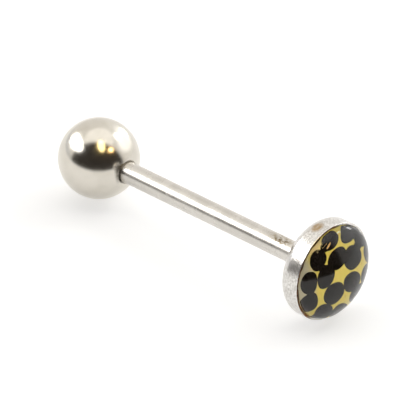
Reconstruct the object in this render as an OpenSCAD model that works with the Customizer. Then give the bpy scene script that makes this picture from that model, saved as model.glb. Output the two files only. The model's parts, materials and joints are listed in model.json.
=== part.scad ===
// Tongue barbell: a steel bar with a cup soldered to one end, a printed disc
// under a clear resin dome in the cup, and a ball that screws on at the other end.
// It lies at rest on the ground, on its ball and on the rounded edge of its cup.
// Millimetres, Z up. The origin is on the ground, below the middle of the barbell.

/* [Bar] */
// Diameter of the plain bar
bar_d = 1.6; // [1.2:0.1:2.4]
// Length of the plain bar between the ball and the cup
bar_length = 18; // [10:1:30]
// Radius of the solder fillet where the bar meets the cup
solder_r = 0.25; // [0.1:0.05:0.6]

/* [Thread] */
// Length of the threaded end inside the ball
thread_length = 3.3; // [2:0.1:4]
// Distance from one thread ridge to the next
thread_pitch = 0.35; // [0.25:0.05:0.6]
// Radial step from the plain bar down to the top of the thread
thread_step = 0.05; // [0.02:0.01:0.12]
// Height of the thread ridges
thread_height = 0.17; // [0.08:0.01:0.25]
// Length of the smooth neck between the bar's shoulder and the thread
neck_length = 0.3; // [0.1:0.05:0.6]

/* [Ball] */
// Diameter of the ball
ball_d = 6; // [5:0.5:7]
// Radial clearance between the thread's ridges and the ball's hole
bore_clearance = 0.03; // [0.01:0.01:0.08]
// Room left in the hole past the end of the bar
bore_spare = 0.4; // [0.2:0.1:0.8]
// Width of the countersink at the mouth of the hole
mouth_w = 0.14; // [0.08:0.01:0.3]
// Angle of the drill point at the bottom of the hole
drill_angle = 118; // [90:1:140]

/* [Cup] */
// Outside diameter of the cup
cup_d = 7.4; // [7:0.1:10]
// Depth of the cup from its back face to its rim
cup_depth = 2; // [1.6:0.1:4]
// Radius of the rounded edge round the back of the cup
cup_edge_r = 1; // [0.3:0.1:1.3]
// Width of the cup's rim
rim_w = 0.18; // [0.1:0.02:0.4]
// Break of the sharp corners of the rim
rim_break = 0.04; // [0.02:0.01:0.05]
// Depth of the recess for the printed disc and the resin
recess_depth = 0.45; // [0.3:0.05:0.8]

/* [Printed disc] */
// Thickness of the printed disc
picture_thickness = 0.12; // [0.05:0.01:0.2]

/* [Dome] */
// Height of the resin dome above the rim of the cup
dome_h = 1.85; // [1.3:0.05:2.4]
// Radius of the dome's shoulder, where it turns down to the rim
dome_shoulder_r = 0.8; // [0.3:0.1:1]

/* [Fits] */
// Gap between pieces that are held together
fit_gap = 0.02; // [0.01:0.01:0.05]

/* [Hidden] */
$fn = 96;
// A hair of overlap that lets cuts and joins run through a face
over = 0.1;
// Turn about the axis that keeps the seams of the round surfaces on top, off the ground
seam_turn = 180;

bar_r = bar_d / 2;
ball_r = ball_d / 2;
cup_r = cup_d / 2;
crest_r = bar_r - thread_step;
root_r = crest_r - thread_height;
bore_r = crest_r + bore_clearance;

// Places along the axis, measured from the centre of the ball towards the cup
mouth_r = bore_r + mouth_w;
mouth_at = sqrt(pow(ball_r, 2) - pow(mouth_r, 2));
cone_end_at = mouth_at - mouth_w;
shoulder_at = cone_end_at + (bar_r - bore_r) + fit_gap;
bar_end_at = shoulder_at - thread_length;
bore_end_at = bar_end_at - bore_spare;
cup_back_at = shoulder_at + bar_length;
rim_at = cup_back_at + cup_depth;
recess_at = rim_at - recess_depth;
resin_at = recess_at + picture_thickness + 2 * fit_gap;

recess_r = cup_r - rim_w;
filling_r = recess_r - fit_gap;
// The flatter top of the dome is an arc that runs smoothly into the shoulder
dome_top_r = (pow(filling_r - dome_shoulder_r, 2) + pow(dome_h, 2) - pow(dome_shoulder_r, 2))
    / (2 * (dome_h - dome_shoulder_r));
shoulder_end_r = (filling_r - dome_shoulder_r) * dome_top_r / (dome_top_r - dome_shoulder_r);
// Share of the ridge taken by each slope, the rest being its flat top and the flat between ridges
slope_share = 0.36;
crest_share = 0.14;
thread_run = thread_length - neck_length;
ridge_count = floor((thread_run - thread_height) / thread_pitch);

// Lean of the axis that sets both the ball and the cup's rounded edge on the ground
edge_at = cup_back_at + cup_edge_r;
edge_r = cup_r - cup_edge_r;
lean = acos((ball_r - cup_edge_r) / norm([edge_r, edge_at])) - atan2(edge_at, edge_r);
tip_x = (rim_at + dome_h - dome_top_r) * cos(lean) + dome_top_r;
ball_x = (ball_r - tip_x) / 2;

// Sets what is drawn along Z onto the barbell's leaning axis
module on_axis() {
    translate([ball_x, 0, ball_r]) rotate([0, 90 - lean, 0]) rotate(seam_turn) children();
}

// One ridge of the thread as radius and place, starting at its root nearest the bar's end
function ridge(start) = [
    [root_r, start],
    [crest_r, start + slope_share * thread_pitch],
    [crest_r, start + (slope_share + crest_share) * thread_pitch],
    [root_r, start + (2 * slope_share + crest_share) * thread_pitch]
];

// Half section of the threaded end, with a chamfered tip and a smooth neck
module thread_section() {
    polygon(concat(
        [[0, bar_end_at], [root_r - thread_height / 2, bar_end_at], [root_r, bar_end_at + thread_height / 2]],
        [for (i = [0 : ridge_count - 1]) each ridge(bar_end_at + thread_height + i * thread_pitch)],
        [[root_r, shoulder_at + over], [0, shoulder_at + over]]
    ));
}

// Half section of the plain bar, with a shoulder bevelled to sit in the ball's countersink
module bar_section() {
    bevel = bar_r - root_r;
    polygon([
        [0, shoulder_at - bevel],
        [root_r, shoulder_at - bevel],
        [bar_r, shoulder_at],
        [bar_r, cup_back_at + over],
        [0, cup_back_at + over]
    ]);
}

// Half section of the ring of solder between the bar and the back of the cup
module solder_section() {
    difference() {
        translate([bar_r - over, cup_back_at - solder_r]) square([solder_r + over, solder_r + over]);
        translate([bar_r + solder_r, cup_back_at - solder_r]) circle(solder_r);
    }
}

// Half section of the cup: rounded back edge, thin rim and shallow recess
module cup_section() {
    difference() {
        union() {
            translate([0, cup_back_at]) square([edge_r, cup_edge_r + over]);
            translate([edge_r, edge_at]) intersection() {
                circle(cup_edge_r);
                translate([0, -cup_edge_r]) square(cup_edge_r);
            }
            polygon([
                [0, edge_at],
                [cup_r, edge_at],
                [cup_r, rim_at - rim_break],
                [cup_r - rim_break, rim_at],
                [recess_r + rim_break, rim_at],
                [recess_r, rim_at - rim_break],
                [0, rim_at - rim_break]
            ]);
        }
        translate([0, recess_at]) square([recess_r, recess_depth]);
    }
}

// The bar and its soldered cup are one piece of steel
module bar_and_cup() {
    color("silver") on_axis() rotate_extrude() union() {
        thread_section();
        bar_section();
        solder_section();
        cup_section();
    }
}

// The ball, with a blind hole that takes the threaded end
module ball() {
    drill_depth = bore_r / tan(drill_angle / 2);
    color("gainsboro") on_axis() difference() {
        sphere(ball_r);
        translate([0, 0, bore_end_at]) cylinder(h = ball_r - bore_end_at + over, r = bore_r);
        translate([0, 0, bore_end_at - drill_depth]) cylinder(h = drill_depth, r1 = 0, r2 = bore_r);
        translate([0, 0, cone_end_at]) cylinder(h = 2 * mouth_w, r1 = bore_r, r2 = bore_r + 2 * mouth_w);
    }
}

// The printed disc lies flat at the bottom of the recess
module picture() {
    color("goldenrod") on_axis() translate([0, 0, recess_at + fit_gap])
        cylinder(h = picture_thickness, r = filling_r);
}

// Half section of the resin: it fills the recess and swells above the rim
module dome_section() {
    translate([0, resin_at]) square([filling_r, rim_at - resin_at]);
    translate([0, rim_at]) intersection() {
        square([filling_r, dome_h]);
        union() {
            translate([filling_r - dome_shoulder_r, 0]) circle(dome_shoulder_r);
            intersection() {
                translate([0, dome_h - dome_top_r]) circle(dome_top_r);
                square([shoulder_end_r, dome_h]);
            }
        }
    }
}

// The clear resin over the printed disc
module dome() {
    color("ivory", 0.5) on_axis() rotate_extrude() dome_section();
}

bar_and_cup();
ball();
picture();
dome();
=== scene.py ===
"""Looks for the tongue barbell: a polished bar with a brushed cup, a spotted print under a
clear resin dome, and a mirror-polished ball that screws on at the other end."""
import json
import math

import bmesh
import bpy
from mathutils import Matrix, Vector
from mathutils.geometry import delaunay_2d_cdt


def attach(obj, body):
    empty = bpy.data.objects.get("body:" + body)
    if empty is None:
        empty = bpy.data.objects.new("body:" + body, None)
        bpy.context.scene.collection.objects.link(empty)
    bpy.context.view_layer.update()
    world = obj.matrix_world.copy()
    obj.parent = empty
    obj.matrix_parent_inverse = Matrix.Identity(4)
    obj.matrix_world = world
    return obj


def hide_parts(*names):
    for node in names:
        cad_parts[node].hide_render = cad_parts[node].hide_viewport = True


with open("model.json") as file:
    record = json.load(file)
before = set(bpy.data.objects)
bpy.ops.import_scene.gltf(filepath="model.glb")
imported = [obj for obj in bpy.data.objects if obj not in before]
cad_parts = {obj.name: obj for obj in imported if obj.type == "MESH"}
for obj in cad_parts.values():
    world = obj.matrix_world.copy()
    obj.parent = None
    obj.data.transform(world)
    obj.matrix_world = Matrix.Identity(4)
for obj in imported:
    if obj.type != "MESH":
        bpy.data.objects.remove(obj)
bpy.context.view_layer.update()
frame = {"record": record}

# Sizes of the solids, in millimetres
BAR_R = 0.8
BAR_LENGTH = 18.0
SOLDER_R = 0.25
THREAD_LENGTH = 3.3
THREAD_PITCH = 0.35
THREAD_CREST_R = 0.75
THREAD_ROOT_R = 0.58
NECK_LENGTH = 0.3
BALL_R = 3.0
BORE_R = 0.78
BORE_SPARE = 0.4
MOUTH_WIDTH = 0.14
DRILL_ANGLE = math.radians(118)
CUP_R = 3.7
CUP_DEPTH = 2.0
CUP_EDGE_R = 1.0
RIM_WIDTH = 0.18
RIM_BREAK = 0.04
RECESS_DEPTH = 0.45
PRINT_THICKNESS = 0.12
DOME_H = 1.85
DOME_SHOULDER_R = 0.8
FIT_GAP = 0.02

# Places along the axis, in millimetres from the flat back of the cup towards the dome
SHOULDER_AT = -BAR_LENGTH
BAR_END_AT = SHOULDER_AT - THREAD_LENGTH
RIM_AT = CUP_DEPTH
RECESS_AT = RIM_AT - RECESS_DEPTH
PRINT_AT = RECESS_AT + FIT_GAP
PRINT_TOP_AT = PRINT_AT + PRINT_THICKNESS
RECESS_R = CUP_R - RIM_WIDTH
FILLING_R = RECESS_R - FIT_GAP
MOUTH_R = BORE_R + MOUTH_WIDTH
MOUTH_AT = math.sqrt(BALL_R**2 - MOUTH_R**2)
BALL_AT = SHOULDER_AT - (MOUTH_AT - MOUTH_WIDTH + BAR_R - BORE_R + FIT_GAP)

# Painted reflection of a warm lamp, a streak of foil left without ink across a spot: its place,
# half length and half width in millimetres, and tilt
LAMP_GLINT = (-0.32, 2.06, 0.25, 0.09)
LAMP_GLINT_TILT = 42

# The axis of the barbell in the model's frame, from the mount at the middle of the bar
MM = 0.001
bar_mount = {mount["name"]: mount for mount in frame["record"]["mounts"]}["piercing_bar"]
along = Vector(bar_mount["axis"]).normalized()
cup_back = Vector(bar_mount["pos_m"]) + along * BAR_LENGTH / 2 * MM
side = Vector((0, 1, 0))
upward = along.cross(side)


def place(x, y, s):
    """A point x to the side, y upwards and s along the axis, in millimetres."""
    return cup_back + (side * x + upward * y + along * s) * MM


def arc(centre, radius, start, end, steps):
    """Points (r, s) on an arc of the half section, from angle start to end in degrees."""
    points = []
    for i in range(steps + 1):
        angle = math.radians(start + (end - start) * i / steps)
        points.append((centre[0] + radius * math.cos(angle), centre[1] + radius * math.sin(angle)))
    return points


def line(start, end, steps):
    """Points (r, s) between two ends, the first end left out."""
    return [
        tuple(a + (b - a) * i / steps for a, b in zip(start, end))
        for i in range(1, steps + 1)
    ]


def new_object(name, mesh, materials, body, node, sharp=35):
    """Makes an object of a mesh that rides on a body and stands for a node."""
    mesh.polygons.foreach_set("use_smooth", [True] * len(mesh.polygons))
    mesh.set_sharp_from_angle(angle=math.radians(sharp))
    obj = bpy.data.objects.new(name, mesh)
    bpy.context.scene.collection.objects.link(obj)
    for material in materials:
        mesh.materials.append(material)
    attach(obj, body)
    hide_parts(node)
    return obj


def lathe(name, rows, segments):
    """A closed mesh turned about the axis. A row is (radius, place), with radius a number or a
    function of the angle, and the first and last rows lie on the axis."""
    mesh = bpy.data.meshes.new(name)
    points = []
    faces = []
    rings = []
    for radius, s in rows:
        if not callable(radius) and radius == 0:
            rings.append([len(points)])
            points.append(place(0, 0, s))
            continue
        ring = []
        for i in range(segments):
            angle = 2 * math.pi * i / segments
            r = radius(angle) if callable(radius) else radius
            ring.append(len(points))
            points.append(place(r * math.cos(angle), r * math.sin(angle), s))
        rings.append(ring)
    for low, high in zip(rings, rings[1:]):
        for i in range(segments):
            j = (i + 1) % segments
            if len(low) == 1:
                faces.append((low[0], high[j], high[i]))
            elif len(high) == 1:
                faces.append((low[i], low[j], high[0]))
            else:
                faces.append((low[i], low[j], high[j], high[i]))
    mesh.from_pydata([tuple(p) for p in points], [], faces)
    bm = bmesh.new()
    bm.from_mesh(mesh)
    bmesh.ops.recalc_face_normals(bm, faces=bm.faces)
    bm.to_mesh(mesh)
    bm.free()
    return mesh


class Nodes:
    """Short calls for building a material's nodes."""

    def __init__(self, tree):
        self.tree = tree
        self.new = tree.nodes.new
        self.link = tree.links.new

    def put(self, socket, value):
        if isinstance(value, bpy.types.NodeSocket):
            self.link(value, socket)
        else:
            socket.default_value = value

    def math(self, operation, a, b=None):
        node = self.new("ShaderNodeMath")
        node.operation = operation
        self.put(node.inputs[0], a)
        if b is not None:
            self.put(node.inputs[1], b)
        return node.outputs[0]

    def both(self, *masks):
        """The product of masks."""
        result = masks[0]
        for mask in masks[1:]:
            result = self.math("MULTIPLY", result, mask)
        return result

    def vector(self, operation, a, b=None, scale=None):
        node = self.new("ShaderNodeVectorMath")
        node.operation = operation
        self.put(node.inputs[0], a)
        if b is not None:
            self.put(node.inputs[1], b)
        if scale is not None:
            self.put(node.inputs["Scale"], scale)
        return node.outputs["Value"] if operation in ("DOT_PRODUCT", "LENGTH") else node.outputs[0]

    def combine(self, x, y, z):
        node = self.new("ShaderNodeCombineXYZ")
        for socket, value in zip(node.inputs, (x, y, z)):
            self.put(socket, value)
        return node.outputs[0]

    def noise(self, position, scale, detail=2.0, roughness=0.5, distortion=0.0, stretch=None):
        node = self.new("ShaderNodeTexNoise")
        if stretch is not None:
            position = self.vector("MULTIPLY", position, stretch)
        self.put(node.inputs["Vector"], position)
        self.put(node.inputs["Scale"], scale)
        self.put(node.inputs["Detail"], detail)
        self.put(node.inputs["Roughness"], roughness)
        self.put(node.inputs["Distortion"], distortion)
        return node.outputs[0]

    def ramp(self, value, low, high, to_low=0.0, to_high=1.0):
        node = self.new("ShaderNodeMapRange")
        node.interpolation_type = "SMOOTHSTEP"
        values = {
            "Value": value,
            "From Min": low,
            "From Max": high,
            "To Min": to_low,
            "To Max": to_high,
        }
        for name, number in values.items():
            self.put(node.inputs[name], number)
        return node.outputs[0]

    def blot(self, position, centre, halves, core=0.4):
        """1 in the middle of an ellipsoid, down to 0 at its edge."""
        offset = self.vector("DIVIDE", self.vector("SUBTRACT", position, centre), halves)
        return self.ramp(self.vector("LENGTH", offset), 1.0, core)

    def mix(self, factor, a, b):
        node = self.new("ShaderNodeMix")
        node.data_type = "RGBA"
        self.put(node.inputs["Factor"], factor)
        self.put(node.inputs["A"], a)
        self.put(node.inputs["B"], b)
        return node.outputs["Result"]

    def stain(self, tone, mask, share, tint):
        """Lays a share of a tint over a tone where a mask is 1."""
        return self.mix(self.math("MULTIPLY", mask, share), tone, tint)

    def bump(self, height, strength, microns):
        """A surface raised by a height map, with its full height in thousandths of a millimetre."""
        node = self.new("ShaderNodeBump")
        self.put(node.inputs["Height"], height)
        node.inputs["Strength"].default_value = strength
        node.inputs["Distance"].default_value = microns * MM / 1000
        return node.outputs[0]

    def axis_position(self):
        """Position in millimetres as (side, upward, along)."""
        coordinates = self.new("ShaderNodeTexCoord").outputs["Object"]
        offset = self.vector("SUBTRACT", coordinates, cup_back)
        offset = self.vector("SCALE", offset, scale=1 / MM)
        x, y, s = (self.vector("DOT_PRODUCT", offset, axis) for axis in (side, upward, along))
        return self.combine(x, y, s)


def new_material(name):
    material = bpy.data.materials.new(name)
    material.use_nodes = True
    tree = material.node_tree
    tree.nodes.clear()
    output = tree.nodes.new("ShaderNodeOutputMaterial")
    shader = tree.nodes.new("ShaderNodeBsdfPrincipled")
    tree.links.new(shader.outputs[0], output.inputs[0])
    return material, Nodes(tree), shader.inputs


def colour(r, g, b):
    """A colour given as it looks on the screen, from 0 to 255, made linear."""
    linear = []
    for level in (r / 255, g / 255, b / 255):
        linear.append(level / 12.92 if level <= 0.04045 else ((level + 0.055) / 1.055) ** 2.4)
    return (*linear, 1.0)


def grey(level):
    """A linear colour without a tint."""
    return (level, level, level, 1.0)


def on_wall(angle, s):
    """A place on the cup's wall, with the angle counted from the near side upwards."""
    turn = math.radians(angle)
    return (-CUP_R * math.cos(turn), CUP_R * math.sin(turn), s)


def steel_of_bar_and_cup():
    """Polished on the bar, brushed round on the cup, with stains where it was soldered and glued, and
    with painted reflections and painted shade.
    """
    material, n, shader = new_material("satin_steel")
    position = n.axis_position()
    s = n.vector("DOT_PRODUCT", position, (0, 0, 1))
    radius = n.vector("LENGTH", n.vector("MULTIPLY", position, (1, 1, 0)))
    cup = n.ramp(s, -0.12, 0.02)
    fine = n.noise(position, 8.0, 4.0, 0.7)
    brushing = n.noise(position, 2.2, 4.0, 0.65, stretch=(0.8, 0.8, 9.0))
    patches = n.noise(position, 0.9, 3.0, 0.55)
    drawing = n.noise(position, 1.6, 3.0, 0.6, stretch=(9.0, 9.0, 0.35))
    cloudy = n.ramp(patches, 0.35, 0.68)
    bar_tone = n.mix(cloudy, colour(205, 201, 194), colour(214, 210, 203))
    cup_tone = n.mix(cloudy, colour(224, 222, 218), colour(233, 231, 228))
    tone = n.mix(cup, bar_tone, cup_tone)
    tone = n.mix(n.both(cup, n.ramp(fine, 0.42, 0.62, 0.0, 0.55)), tone, colour(166, 159, 149))
    # Straw-brown tint on the bar near the joint
    marks = n.noise(position, 7.0, 5.0, 0.75, 0.6, stretch=(1.0, 1.0, 0.55))
    tinted = n.both(n.blot(position, (-0.1, 0.7, -2.7), (0.75, 0.7, 1.5)), n.ramp(marks, 0.45, 0.55))
    tone = n.stain(tone, tinted, 0.7, colour(146, 130, 98))
    # Painted reflection of the cup's back: a dark spot on top of the bar near the joint
    painted_cup_reflection = n.both(n.blot(position, (-0.25, 0.75, -2.6), (0.35, 0.35, 0.9)), n.ramp(marks, 0.48, 0.56))
    tone = n.stain(tone, painted_cup_reflection, 0.85, colour(96, 80, 52))
    # Painted dark reflection: a dull brown patch on the near side of the wall
    ragged = n.ramp(n.noise(position, 3.2, 4.0, 0.65), 0.25, 0.55, 0.35, 1.0)
    painted_dark_reflection = n.both(n.blot(position, on_wall(27, 1.32), (0.95, 0.85, 0.95)), ragged)
    tone = n.stain(tone, painted_dark_reflection, 0.26, colour(104, 92, 82))
    # Painted reflection: a tan patch near the top of the wall
    tan = n.both(n.blot(position, (-0.65, 3.63, 1.2), (0.7, 0.5, 0.5)), ragged)
    tone = n.stain(tone, tan, 0.9, colour(172, 145, 104))
    # Painted shade on the back edge where the bar runs behind it
    painted_shade = n.both(n.blot(position, (-2.52, 2.35, 0.35), (0.42, 0.45, 0.35)), ragged)
    tone = n.stain(tone, painted_shade, 0.95, colour(56, 50, 44))
    # Brown line on the near side of the rim's top: old glue with painted shade of the gap beside the
    # dome, and orange painted highlights along it
    on_top = n.ramp(s, RIM_AT - 0.04, RIM_AT - 0.015)
    outer = n.ramp(radius, CUP_R - 0.01, CUP_R - 0.03)
    near_side = n.blot(position, (-2.4, 1.0, RIM_AT), (4.1, 4.1, 4.1), 0.86)
    glue_and_painted_shade = n.both(on_top, outer, near_side, n.ramp(n.noise(position, 2.6, 2.0), 0.25, 0.6, 0.75, 1.0))
    glue_and_glint_tone = n.mix(n.ramp(marks, 0.45, 0.6), colour(76, 50, 22), colour(146, 94, 38))
    n.put(shader["Base Color"], n.mix(glue_and_painted_shade, tone, glue_and_glint_tone))
    shader["Metallic"].default_value = 1.0
    smoother = n.both(cup, n.ramp(fine, 0.3, 0.7, -0.08, 0.0))
    rough = n.math("ADD", n.ramp(patches, 0.3, 0.7, 0.24, 0.29), smoother)
    rough = n.math("ADD", rough, n.math("MULTIPLY", n.math("ADD", glue_and_painted_shade, tinted), 0.15))
    n.put(shader["Roughness"], rough)
    brushed = n.math("ADD", fine, n.math("MULTIPLY", brushing, 0.8))
    height = n.math("ADD", n.both(cup, brushed), n.math("MULTIPLY", drawing, 0.5))
    n.put(shader["Normal"], n.bump(height, 0.8, 10))
    return material


def steel_of_ball():
    """Mirror polish with faint haze and hairlines."""
    material, n, shader = new_material("polished_steel")
    position = n.axis_position()
    cloud = n.noise(position, 0.55, 3.0, 0.6)
    haze = n.noise(position, 2.4, 4.0, 0.7, 0.8)
    hairlines = n.noise(position, 2.0, 5.0, 0.75, stretch=(1.2, 9.0, 5.0))
    tone = n.mix(n.ramp(cloud, 0.35, 0.65), colour(209, 204, 193), colour(216, 211, 201))
    # Painted reflection of the bar, dark round the near side of the mouth
    painted_shade = n.blot(position, (-0.85, 0.25, SHOULDER_AT), (0.42, 1.0, 0.5), 0.3)
    tone = n.mix(n.both(painted_shade, n.ramp(haze, 0.3, 0.6, 0.45, 0.85)), tone, colour(72, 68, 58))
    n.put(shader["Base Color"], tone)
    shader["Metallic"].default_value = 1.0
    rough = n.math("ADD", n.ramp(haze, 0.35, 0.7, 0.16, 0.2), n.math("MULTIPLY", hairlines, 0.02))
    n.put(shader["Roughness"], n.math("ADD", rough, n.math("MULTIPLY", painted_shade, 0.12)))
    n.put(shader["Normal"], n.bump(n.math("ADD", hairlines, cloud), 0.25, 2))
    return material


def steel_of_bore():
    """Matt machined steel, in the hole of the ball and its countersink."""
    material, n, shader = new_material("machined_steel")
    position = n.axis_position()
    turning = n.noise(position, 2.0, 3.0, 0.6, stretch=(0.5, 0.5, 12.0))
    tone = n.mix(n.ramp(turning, 0.35, 0.65), colour(214, 210, 202), colour(236, 232, 224))
    # Painted shade in the countersink on the near side of the mouth
    painted_shade = n.blot(position, (-0.85, 0.0, SHOULDER_AT), (0.6, 1.0, 0.5), 0.5)
    n.put(shader["Base Color"], n.stain(tone, painted_shade, 0.8, colour(66, 62, 52)))
    shader["Metallic"].default_value = 0.2
    n.put(shader["Roughness"], n.ramp(turning, 0.3, 0.7, 0.45, 0.6))
    n.put(shader["Normal"], n.bump(turning, 0.4, 6))
    return material


def gold_foil():
    """Yellow gold print with a fine grain, paler towards the wall of the recess, with an orange
    painted reflection of a warm lamp.
    """
    material, n, shader = new_material("gold_foil")
    position = n.axis_position()
    grain = n.noise(position, 16.0, 3.0, 0.65, stretch=(1.0, 1.6, 1.0))
    drift = n.noise(position, 0.7, 2.0)
    tone = n.mix(n.ramp(grain, 0.3, 0.72), colour(243, 218, 88), colour(249, 235, 130))
    tone = n.mix(n.ramp(drift, 0.35, 0.7, 0.0, 0.35), tone, colour(240, 220, 96))
    creases = n.noise(position, 1.3, 3.0, 0.6, stretch=(9.0, 2.0, 1.0))
    tone = n.mix(n.ramp(creases, 0.55, 0.72, 0.0, 0.35), tone, colour(176, 150, 60))
    # Areas of other tones, which reach so far along the axis that only their outline counts
    deep = 9.0
    pale = n.blot(position, (-3.3, -0.1, PRINT_TOP_AT), (2.1, 3.5, deep), 0.6)
    tone = n.stain(tone, pale, 0.92, colour(206, 200, 178))
    peach = n.blot(position, (-1.5, 2.5, PRINT_TOP_AT), (1.1, 0.9, deep), 0.4)
    tone = n.stain(tone, peach, 0.8, colour(255, 226, 164))
    # Painted reflection of a warm lamp: an orange tint on the streak without ink
    painted_glint = n.blot(position, (*LAMP_GLINT[:2], PRINT_TOP_AT), (0.35, 0.35, deep), 0.8)
    tone = n.stain(tone, painted_glint, 0.85, colour(255, 206, 138))
    n.put(shader["Base Color"], tone)
    shader["Metallic"].default_value = 0.1
    shader["Specular IOR Level"].default_value = 0.0
    n.put(shader["Roughness"], n.ramp(grain, 0.3, 0.7, 0.45, 0.6))
    n.put(shader["Normal"], n.bump(grain, 0.3, 3))
    return material


def black_ink():
    """Matt black print with a faint speckle."""
    material, n, shader = new_material("black_ink")
    speckle = n.noise(n.axis_position(), 9.0, 4.0, 0.7)
    n.put(shader["Base Color"], n.mix(n.ramp(speckle, 0.4, 0.6), colour(10, 8, 6), colour(40, 35, 31)))
    shader["Specular IOR Level"].default_value = 0.0
    n.put(shader["Roughness"], n.ramp(speckle, 0.3, 0.7, 0.55, 0.7))
    n.put(shader["Normal"], n.bump(speckle, 0.2, 3))
    return material


def clear_resin():
    """Clear gloss with a slight sway of the surface and a few specks of dust."""
    material, n, shader = new_material("clear_resin")
    position = n.axis_position()
    sway = n.noise(position, 0.45, 1.0)
    dust = n.ramp(n.noise(position, 6.0, 2.0), 0.68, 0.74)
    n.put(shader["Base Color"], n.mix(dust, colour(254, 253, 250), colour(236, 232, 224)))
    n.put(shader["Roughness"], n.ramp(dust, 0.0, 1.0, 0.015, 0.12))
    shader["IOR"].default_value = 1.45
    shader["Transmission Weight"].default_value = 1.0
    n.put(shader["Normal"], n.bump(sway, 0.3, 30))
    return material


bar_steel = steel_of_bar_and_cup()
ball_steel = steel_of_ball()
bore_steel = steel_of_bore()
foil = gold_foil()
ink = black_ink()
resin = clear_resin()

# Helical threads: rows for each turn, the length in which a thread fades in or out, the distance
# from the bar's tip at which it begins, and how steeply a ridge rises for each share of a turn
THREAD_STEPS = 10
THREAD_FADE = 0.25
THREAD_START = 0.0375
RIDGE_SLOPE = 2.7


def ridge(angle, s):
    """The height of a thread at an angle and a place, as a share of its full height."""
    turn = ((s - BAR_END_AT) / THREAD_PITCH - angle / (2 * math.pi)) % 1.0
    return min(1.0, RIDGE_SLOPE * (0.5 - abs(turn - 0.5)))


def fade(distance):
    """Rises from 0 at the end of a thread to 1 where it has its full height."""
    return min(1.0, max(0.0, distance / THREAD_FADE))


def thread_radius(s):
    """The radius of the bar's thread at a place, as a function of the angle."""
    height = THREAD_CREST_R - THREAD_ROOT_R
    height *= min(fade(s - BAR_END_AT - THREAD_START), fade(SHOULDER_AT - NECK_LENGTH - s))
    return lambda angle: THREAD_ROOT_R + height * ridge(angle, s)


# The back edge of the cup is a little flatter than a full round and meets the wall in a crease.
# These are the angles where it ends, and how much less it sweeps in each half than a full round
WALL_END = 5
BACK_END = 86
FLATTENING = 10


def back_edge():
    """Rows from the flat back of the cup round to its wall."""
    middle = (WALL_END + BACK_END) / 2
    half = math.radians(BACK_END - WALL_END) / 2
    flatter = half - math.radians(FLATTENING)
    crease_r = CUP_EDGE_R * math.sin(half) / math.sin(flatter)
    shift = CUP_EDGE_R * math.cos(half) - crease_r * math.cos(flatter)
    turn = math.radians(middle)
    centre = (edge_r + shift * math.cos(turn), CUP_EDGE_R - shift * math.sin(turn))
    sweep = math.degrees(flatter)
    return arc(centre, crease_r, -(middle + sweep), -(middle - sweep), 22)


# Bar and cup: the threaded end, the plain bar, a ring of solder and the cup. Extra rings close to
# a rounding keep its shading off the face beside it
SHOULDER_BREAK = 0.02
GUARD = 0.03
RIM_GUARD = 0.01
INNER_RING_R = 2.0
edge_r = CUP_R - CUP_EDGE_R
bevel = BAR_R - THREAD_ROOT_R
tip_break = (THREAD_CREST_R - THREAD_ROOT_R) / 2
rows = [(0, BAR_END_AT), (THREAD_ROOT_R - tip_break, BAR_END_AT)]
rows += line(rows[-1], (THREAD_ROOT_R, BAR_END_AT + tip_break), 2)
thread_run = THREAD_LENGTH - NECK_LENGTH - tip_break
count = round(thread_run / THREAD_PITCH * THREAD_STEPS)
for i in range(1, count + 1):
    s = BAR_END_AT + tip_break + thread_run * i / count
    rows.append((thread_radius(s), s))
rows += line((THREAD_ROOT_R, SHOULDER_AT - NECK_LENGTH), (THREAD_ROOT_R, SHOULDER_AT - bevel), 2)
rows += line(rows[-1], (BAR_R - SHOULDER_BREAK, SHOULDER_AT - SHOULDER_BREAK), 2)
rows += [(BAR_R, SHOULDER_AT + SHOULDER_BREAK / 2), (BAR_R, SHOULDER_AT + 2 * SHOULDER_BREAK)]
rows += line(rows[-1], (BAR_R, -SOLDER_R - GUARD), 18)
rows += arc((BAR_R + SOLDER_R, -SOLDER_R), SOLDER_R, 180, 90, 10)
rows += line((BAR_R + SOLDER_R, 0), (edge_r - GUARD, 0), 6)
rows += back_edge()
rows += line(rows[-1], (CUP_R, CUP_EDGE_R), 4)
rows += line(rows[-1], (CUP_R, RIM_AT - RIM_BREAK - RIM_GUARD), 6)
rows += arc((CUP_R - RIM_BREAK, RIM_AT - RIM_BREAK), RIM_BREAK, 0, 90, 5)
rows += line(rows[-1], (RECESS_R + RIM_BREAK, RIM_AT), 3)
rows += arc((RECESS_R + RIM_BREAK, RIM_AT - RIM_BREAK), RIM_BREAK, 90, 180, 4)[1:]
rows += line(rows[-1], (RECESS_R, RECESS_AT), 3)
rows += [(FILLING_R, RECESS_AT), (INNER_RING_R, RECESS_AT), (0, RECESS_AT)]
mesh = lathe("steel_bar_and_cup", rows, 160)
new_object("steel_bar_and_cup", mesh, [bar_steel], "barbell", "bar_and_cup", sharp=12)

# Ball: a polished sphere with a blind threaded hole. Its outline ends just beside the axis
GROOVE_DEPTH = 0.09
MOUTH_BREAK = 0.01
BALL_LAST_ANGLE = -89
bore_end = BAR_END_AT - BORE_SPARE
cone_end = BALL_AT + MOUTH_AT - MOUTH_WIDTH


def groove_radius(s):
    """The radius of the hole's thread at a place, as a function of the angle."""
    depth = GROOVE_DEPTH * fade(s - bore_end)
    return lambda angle: BORE_R + depth * ridge(angle, s)


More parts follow.
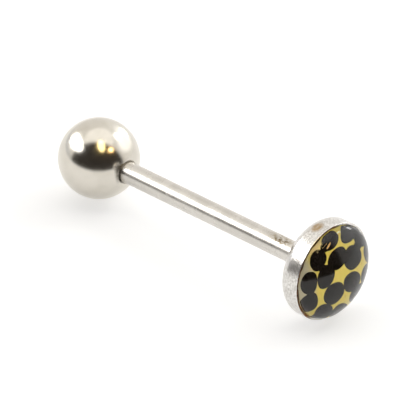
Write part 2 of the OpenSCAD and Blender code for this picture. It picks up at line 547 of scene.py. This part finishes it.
rows = [(0, bore_end - BORE_R / math.tan(DRILL_ANGLE / 2))]
rows += line(rows[-1], (BORE_R, bore_end), 3)
count = round((cone_end - bore_end) / THREAD_PITCH * THREAD_STEPS)
for i in range(1, count):
    s = bore_end + (cone_end - bore_end) * i / count
    rows.append((groove_radius(s), s))
rows.append((BORE_R, cone_end))
rows += line(rows[-1], (MOUTH_R - MOUTH_BREAK, BALL_AT + MOUTH_AT - MOUTH_BREAK), 2)
mouth_angle = math.degrees(math.acos((MOUTH_R + MOUTH_BREAK) / BALL_R))
rows += arc((0, BALL_AT), BALL_R, mouth_angle, BALL_LAST_ANGLE, 110)
rows.append((0, BALL_AT - BALL_R))
mesh = lathe("steel_ball", rows, 192)
for polygon in mesh.polygons:
    offset = (polygon.center - cup_back) / MM
    outwards = (offset - along * offset.dot(along)).length
    within_ball = (offset - along * BALL_AT).length < BALL_R - MOUTH_BREAK
    if within_ball and outwards < MOUTH_R - MOUTH_BREAK:
        polygon.material_index = 1
new_object("steel_ball", mesh, [ball_steel, bore_steel], "ball", "ball")

# Printed disc: round black spots on gold, charted in millimetres from the middle of the disc,
# each with its place to the side and upwards, its half width and its half height
SPOTS = [
    (-0.10, 2.27, 0.68, 0.61),
    (1.37, 2.09, 0.63, 0.64),
    (2.48, 1.44, 0.70, 0.76),
    (-1.24, 1.38, 0.67, 0.70),
    (0.26, 0.87, 0.76, 0.74),
    (1.42, 0.44, 0.69, 0.80),
    (-2.03, 0.07, 0.64, 0.80),
    (-0.72, 0.05, 0.72, 0.76),
    (2.92, 0.12, 0.58, 0.74),
    (1.19, -1.03, 0.63, 0.61),
    (2.45, -1.12, 0.60, 0.62),
    (-0.16, -1.27, 0.77, 0.69),
    (-2.02, -1.30, 0.64, 0.73),
    (-0.92, -2.42, 0.73, 0.69),
    (0.34, -2.85, 0.72, 0.70),
    (1.66, -2.00, 0.66, 0.62),
    (-1.45, 2.95, 0.55, 0.45),
    (-2.85, 1.75, 0.38, 0.56),
    (-3.20, -0.60, 0.32, 0.56),
    (-2.45, -2.50, 0.45, 0.50),
    (0.75, 3.30, 0.55, 0.36),
    (2.10, 2.75, 0.50, 0.45),
    (2.60, -2.40, 0.50, 0.50),
]
# Short necks where neighbouring spots run together
NECKS = [
    (-0.62, 2.04, 0.35, 0.33),
    (-0.95, 0.72, 0.34, 0.20),
    (-0.20, 0.45, 0.34, 0.24),
    (0.90, 0.66, 0.18, 0.34),
    (1.95, 1.88, 0.34, 0.42),
    (2.02, 1.00, 0.36, 0.34),
]
# Waves that put an outline out of round: how many run round it, their height as a share of its
# size, and how far they turn from one spot to the next
WAVES = [(2, 0.022, 1.7), (3, 0.018, 2.9), (5, 0.012, 0.9)]
OUTLINE_STEPS = 44
DISC_STEPS = 180


def spot_outline(index, spot, tilt=0):
    """The points of a spot, a little out of round, with its tilt in degrees."""
    cx, cy, half_w, half_h = spot
    points = []
    turned = Matrix.Rotation(math.radians(tilt), 2)
    for i in range(OUTLINE_STEPS):
        angle = 2 * math.pi * i / OUTLINE_STEPS
        swell = 1
        for count, height, phase in WAVES:
            swell += height * math.sin(count * angle + phase * index)
        offset = Vector((half_w * swell * math.cos(angle), half_h * swell * math.sin(angle)))
        points.append(Vector((cx, cy)) + turned @ offset)
    return points


def inside(point, outline):
    """Whether a point lies inside a closed outline."""
    found = False
    for a, b in zip(outline, outline[1:] + outline[:1]):
        if (a.y > point.y) != (b.y > point.y):
            if point.x < (b.x - a.x) * (point.y - a.y) / (b.y - a.y) + a.x:
                found = not found
    return found


def printed_disc():
    """The disc as one closed mesh whose upper face is cut along the outlines of the spots."""
    outlines = [spot_outline(i, spot) for i, spot in enumerate(SPOTS + NECKS)]
    # A streak left without ink across a spot: painted reflection of a warm lamp
    lamp_glint = spot_outline(0, LAMP_GLINT, LAMP_GLINT_TILT)
    turn = 2 * math.pi / DISC_STEPS
    rim = []
    for i in range(DISC_STEPS):
        rim.append(Vector((FILLING_R * math.cos(i * turn), FILLING_R * math.sin(i * turn))))
    points = []
    edges = []
    for loop in [rim, lamp_glint] + outlines:
        start = len(points)
        points += loop
        edges += [(start + i, start + (i + 1) % len(loop)) for i in range(len(loop))]
    cut, _, triangles, _, _, _ = delaunay_2d_cdt(points, edges, [], 0, 1e-5)
    faces = []
    inked = []
    for triangle in triangles:
        middle = sum((cut[i] for i in triangle), Vector((0, 0))) / 3
        if inside(middle, rim):
            faces.append(tuple(triangle))
            spotted = any(inside(middle, outline) for outline in outlines)
            inked.append(spotted and not inside(middle, lamp_glint))
    used = sorted({i for face in faces for i in face})
    number = {old: new for new, old in enumerate(used)}
    vertices = [place(cut[i].x, cut[i].y, PRINT_TOP_AT) for i in used]
    faces = [tuple(number[i] for i in face) for face in faces]
    sides = {}
    for face in faces:
        for a, b in zip(face, face[1:] + face[:1]):
            if (b, a) in sides:
                del sides[(b, a)]
            else:
                sides[(a, b)] = True
    low = {a: len(vertices) + k for k, (a, _) in enumerate(sides)}
    vertices += [place(cut[used[a]].x, cut[used[a]].y, PRINT_AT) for a, _ in sides]
    under = len(vertices)
    vertices.append(place(0, 0, PRINT_AT))
    for a, b in sides:
        faces.append((b, a, low[a], low[b]))
        faces.append((low[b], low[a], under))
    inked += [False] * (2 * len(sides))
    mesh = bpy.data.meshes.new("printed_disc")
    mesh.from_pydata([tuple(v) for v in vertices], [], faces)
    for polygon, dark in zip(mesh.polygons, inked):
        polygon.material_index = int(dark)
    return mesh


new_object("printed_disc", printed_disc(), [foil, ink], "barbell", "picture")

# Resin dome, sunk a little into the print and into the wall of the recess so that no air shows
# between them. Its outline ends just beside the axis
SUNK = 0.01
DOME_LAST_ANGLE = 89.4
under_at = PRINT_TOP_AT - SUNK
flat_r = FILLING_R - DOME_SHOULDER_R
dome_top_r = (flat_r**2 + DOME_H**2 - DOME_SHOULDER_R**2) / (2 * (DOME_H - DOME_SHOULDER_R))
dome_centre = RIM_AT + DOME_H - dome_top_r
join = math.degrees(math.atan2(RIM_AT - dome_centre, flat_r))
rows = [(0, under_at), (INNER_RING_R, under_at), (RECESS_R + SUNK, under_at)]
rows += line(rows[-1], (RECESS_R + SUNK, RIM_AT - RIM_BREAK - SUNK), 2)
rows += arc((flat_r, RIM_AT), DOME_SHOULDER_R, 0, join, 26)
rows += arc((0, dome_centre), dome_top_r, join, DOME_LAST_ANGLE, 60)[1:]
rows.append((0, RIM_AT + DOME_H))
mesh = lathe("resin_dome", rows, 192)
new_object("resin_dome", mesh, [resin], "barbell", "dome", sharp=50)

# The studio. Azimuths are counted like the camera's, from -Y towards +X, and all are in degrees
CAMERA_AZIMUTH = 42.44
CAMERA_ELEVATION = 32.99
# The white floor, with its size in metres
FLOOR_HALF = 3.0
FLOOR_ALBEDO = 0.67
FLOOR_SHADE = 0.97
FLOOR_GLOW = 0.55
# The dark card, from its faint near edge to its far one, in metres beyond the barbell
CARD_NEAR = 0.03
CARD_FULL = 0.064
CARD_FAR = 2.9
CARD_HALF = 2.5
CARD_HEIGHT = 0.0003
LAMP_DISTANCE = 0.6
# The room: the heights on the sky from which the ceiling fades in, the azimuth and the soft edge
# of the photographer's dark side, and the linear colours
CEILING_FROM = 0.766
CEILING_FULL = 0.866
DARK_AZIMUTH = 37
DARK_FROM = 0.12
DARK_FULL = 0.3
WALLS = (0.93, 0.90, 0.86, 1.0)
BRIGHT_WALL = (1.1, 1.08, 1.05, 1.0)
COOL_WALL = (0.72, 0.73, 0.76, 1.0)
CEILING = (1.36, 1.33, 1.28, 1.0)
WINDOW = (1.75, 1.74, 1.72, 1.0)
DARK_ROOM = (0.036, 0.031, 0.027, 1.0)
SMALL_GLOW = 8.0


def direction(azimuth, elevation):
    azimuth = math.radians(azimuth)
    elevation = math.radians(elevation)
    flat = math.cos(elevation)
    return Vector((math.sin(azimuth) * flat, -math.cos(azimuth) * flat, math.sin(elevation)))


def level_sheet(name, near, far, half_width, height, material):
    """A level sheet that runs from near to far along the camera's azimuth, in metres."""
    ahead = direction(CAMERA_AZIMUTH, 0)
    across = direction(CAMERA_AZIMUTH + 90, 0)
    lift = Vector((0, 0, height))
    edges = ((near, -half_width), (far, -half_width), (far, half_width), (near, half_width))
    corners = [tuple(ahead * distance + across * offset + lift) for distance, offset in edges]
    mesh = bpy.data.meshes.new(name)
    mesh.from_pydata(corners, [], [(0, 1, 2, 3)])
    mesh.materials.append(material)
    sheet = bpy.data.objects.new(name, mesh)
    bpy.context.scene.collection.objects.link(sheet)
    return sheet


def white_table():
    material, n, shader = new_material("white_table")
    grain = n.noise(n.new("ShaderNodeTexCoord").outputs["Object"], 900.0, 3.0)
    n.put(shader["Base Color"], n.mix(grain, grey(FLOOR_ALBEDO * FLOOR_SHADE), grey(FLOOR_ALBEDO)))
    shader["Roughness"].default_value = 0.7
    shader["Specular IOR Level"].default_value = 0.0
    shader["Emission Color"].default_value = grey(1.0)
    shader["Emission Strength"].default_value = FLOOR_GLOW
    return material


def dark_card():
    """Dark and matt, fading out towards its near edge."""
    material, n, shader = new_material("dark_card")
    position = n.new("ShaderNodeTexCoord").outputs["Object"]
    grain = n.noise(position, 400.0, 3.0)
    ahead = n.vector("DOT_PRODUCT", position, direction(CAMERA_AZIMUTH, 0))
    n.put(shader["Alpha"], n.ramp(ahead, CARD_NEAR, CARD_FULL))
    n.put(shader["Base Color"], n.mix(grain, (0.05, 0.045, 0.04, 1.0), (0.06, 0.054, 0.048, 1.0)))
    shader["Roughness"].default_value = 0.8
    shader["Specular IOR Level"].default_value = 0.0
    return material


level_sheet("floor", -FLOOR_HALF, FLOOR_HALF, FLOOR_HALF, 0, white_table())
card = level_sheet("card", CARD_NEAR, CARD_FAR, CARD_HALF, CARD_HEIGHT, dark_card())
# Only reflections see the card: a painted dark reflection of the photographer's side of the room on
# the floor
card.visible_camera = False
card.visible_diffuse = False
card.visible_transmission = False
card.visible_shadow = False


def studio_world():
    """White walls and ceiling beyond the barbell and a dark room on the photographer's side."""
    world = bpy.data.worlds.new("studio")
    bpy.context.scene.world = world
    world.use_nodes = True
    n = Nodes(world.node_tree)
    world.node_tree.nodes.clear()
    output = n.new("ShaderNodeOutputWorld")
    background = n.new("ShaderNodeBackground")
    heading = n.new("ShaderNodeTexCoord").outputs["Generated"]
    split = n.new("ShaderNodeSeparateXYZ")
    n.put(split.inputs[0], heading)
    height = split.outputs["Z"]

    def glow(azimuth, elevation, half_width, half_height, twist, soft):
        """1 within an ellipse on the sky, down to 0 at its soft edge, with its sizes in degrees."""
        centre = direction(azimuth, elevation)
        east = direction(azimuth + 90, 0)
        north = centre.cross(east)
        turn = math.radians(twist)
        parts = []
        for axis, half in (
            (east * math.cos(turn) + north * math.sin(turn), half_width),
            (north * math.cos(turn) - east * math.sin(turn), half_height),
        ):
            parts.append(n.vector("DOT_PRODUCT", heading, axis / math.sin(math.radians(half))))
        reach = n.vector("LENGTH", n.combine(parts[0], parts[1], 0.0))
        ahead = n.ramp(n.vector("DOT_PRODUCT", heading, centre), 0.0, 0.1)
        return n.both(ahead, n.ramp(reach, 1.0, soft))

    walls = n.mix(glow(175, 15, 60, 60, 0, 0.5), WALLS, BRIGHT_WALL)
    walls = n.mix(glow(-75, 0, 45, 18, 0, 0.5), walls, COOL_WALL)
    far = n.mix(n.ramp(height, CEILING_FROM, CEILING_FULL), walls, CEILING)
    far = n.mix(glow(163, 25, 42, 25, -15, 0.55), far, WINDOW)
    for azimuth, elevation in ((163, 43), (187, 14)):
        far = n.mix(glow(azimuth, elevation, 9, 7, 0, 0.6), far, grey(SMALL_GLOW))
    towards = n.vector("DOT_PRODUCT", heading, direction(DARK_AZIMUTH, 0))
    light = n.mix(n.ramp(towards, DARK_FROM, DARK_FULL), far, DARK_ROOM)
    seen = n.new("ShaderNodeLightPath").outputs["Is Camera Ray"]
    n.put(background.inputs["Color"], n.mix(seen, light, grey(1.0)))
    n.link(background.outputs[0], output.inputs[0])


def softbox(name, azimuth, elevation, width, height, radiance, tint=(1, 1, 1), twist=0):
    """An elliptical area light that faces the barbell, as bright as radiance in a mirror."""
    lamp = bpy.data.lights.new(name, "AREA")
    lamp.shape = "ELLIPSE"
    lamp.size = width
    lamp.size_y = height
    area = math.pi / 4 * width * height
    lamp.energy = 4 * area * radiance
    lamp.color = tint
    obj = bpy.data.objects.new(name, lamp)
    bpy.context.scene.collection.objects.link(obj)
    heading = direction(azimuth, elevation)
    turned = heading.to_track_quat("Z", "Y").to_matrix() @ Matrix.Rotation(math.radians(twist), 3, "Z")
    obj.location = heading * LAMP_DISTANCE
    obj.rotation_euler = turned.to_euler()
    obj.visible_camera = False
    obj.visible_diffuse = False


studio_world()
softbox("left_softbox", -60, 32, 0.73, 0.29, 3.2, twist=20)
softbox("warm_lamp", 56.4, 66.2, 0.2, 0.35, 3.0, (1.0, 0.78, 0.36))
softbox("small_warm_lamp", 94.5, 47.5, 0.15, 0.12, 5.0, (1.0, 0.66, 0.28))

# Camera at the photograph's angle, with its focal length in the photograph's pixels
PHOTO_SIDE = 416
FOCAL_LENGTH = 5800
SENSOR_WIDTH = 36
CAMERA_DISTANCE = 0.4156
CAMERA_TARGET = Vector((-0.623, 0.705, 3.0)) * MM
CAMERA_ROLL = math.radians(1.175)
camera_data = bpy.data.cameras.new("camera")
camera = bpy.data.objects.new("camera", camera_data)
bpy.context.scene.collection.objects.link(camera)
bpy.context.scene.camera = camera
camera_data.sensor_width = SENSOR_WIDTH
camera_data.lens = FOCAL_LENGTH / PHOTO_SIDE * SENSOR_WIDTH
camera_data.clip_start = 0.01
camera_data.clip_end = 20
backwards = direction(CAMERA_AZIMUTH, CAMERA_ELEVATION)
level = direction(CAMERA_AZIMUTH + 90, 0)
upright = backwards.cross(level)
right = level * math.cos(CAMERA_ROLL) + upright * math.sin(CAMERA_ROLL)
up = upright * math.cos(CAMERA_ROLL) - level * math.sin(CAMERA_ROLL)
turned = Matrix((right, up, backwards)).transposed().to_4x4()
camera.matrix_world = Matrix.Translation(CAMERA_TARGET + backwards * CAMERA_DISTANCE) @ turned

bpy.context.scene.view_settings.view_transform = "Standard"
